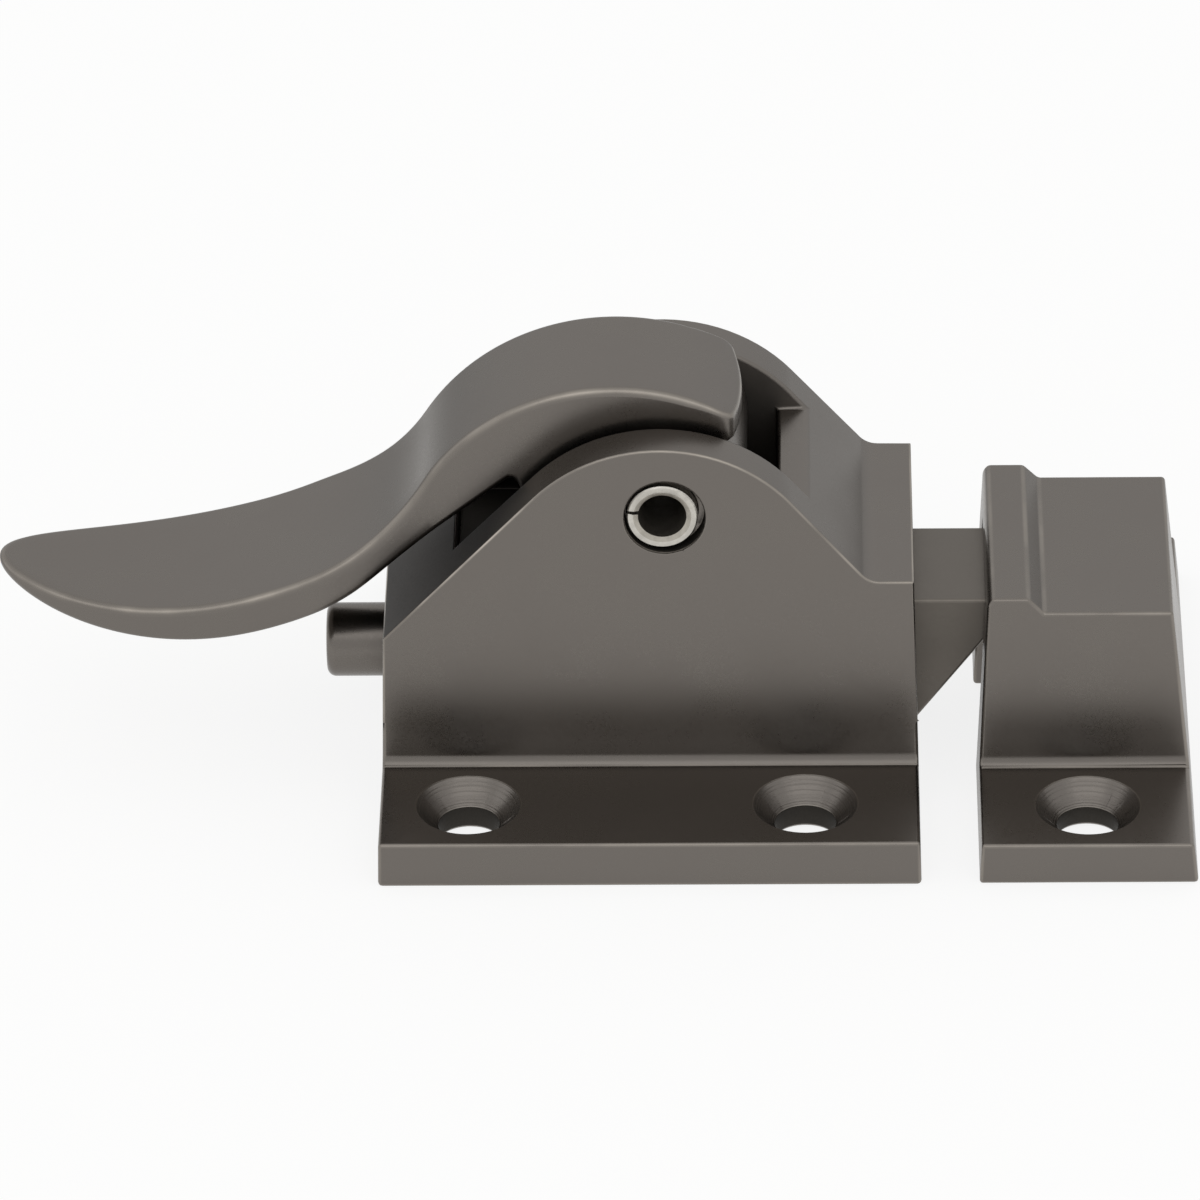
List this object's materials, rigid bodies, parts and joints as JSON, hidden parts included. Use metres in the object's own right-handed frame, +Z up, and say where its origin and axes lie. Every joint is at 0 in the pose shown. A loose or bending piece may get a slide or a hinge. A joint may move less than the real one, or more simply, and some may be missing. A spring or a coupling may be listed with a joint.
{
  "type": "cabinet latch",
  "caption": "Surface-mounted lever latch with a spring-loaded bevelled bolt and a separate hollow strike.",
  "frame": {"origin": "middle of the body's four screw holes, on its mounting face", "axes": "+X along the bolt towards the strike, +Y away from the picture's camera, +Z up out of the mounting face"},
  "size_m": [0.1022, 0.0492, 0.0379],
  "materials": {
    "body_metal": "satin dark grey plating over cast brass",
    "lever_metal": "satin dark grey plating over cast brass",
    "pin_steel": "bright rolled spring steel",
    "bolt_metal": "satin dark grey plating over brass",
    "stem_metal": "satin dark grey plating over turned brass",
    "spring_steel": "drawn spring wire",
    "strike_metal": "satin dark grey plating over cast brass"
  },
  "bodies": {
    "body": {"latch_body": "body_metal", "pivot_pin": "pin_steel", "bolt_spring": "spring_steel"},
    "lever": {"lever": "lever_metal"},
    "bolt": {"latch_bolt": "bolt_metal", "bolt_stem": "stem_metal"},
    "strike": {"strike": "strike_metal"}
  },
  "joints": [
    {"name": "lever_lift", "type": "hinge", "parent": "body", "child": "lever", "pos_m": [0.00235, 0, 0.0282], "axis": [0, 1, 0], "range_deg": [0, 28]},
    {"name": "bolt_slide", "type": "slide", "parent": "body", "child": "bolt", "axis": [-1, 0, 0], "range_m": [0, 0.00725], "stiffness_N_per_m": 300, "springref_m": -0.004, "deforming": ["bolt_spring"]},
    {"name": "strike_away", "type": "slide", "parent": "body", "child": "strike", "axis": [1, 0, 0], "range_m": [0, 0.03]}
  ],
  "couplings": [
    {"joint": "lever_lift", "follows": "bolt_slide", "rad_per_m": 67.34}
  ]
}
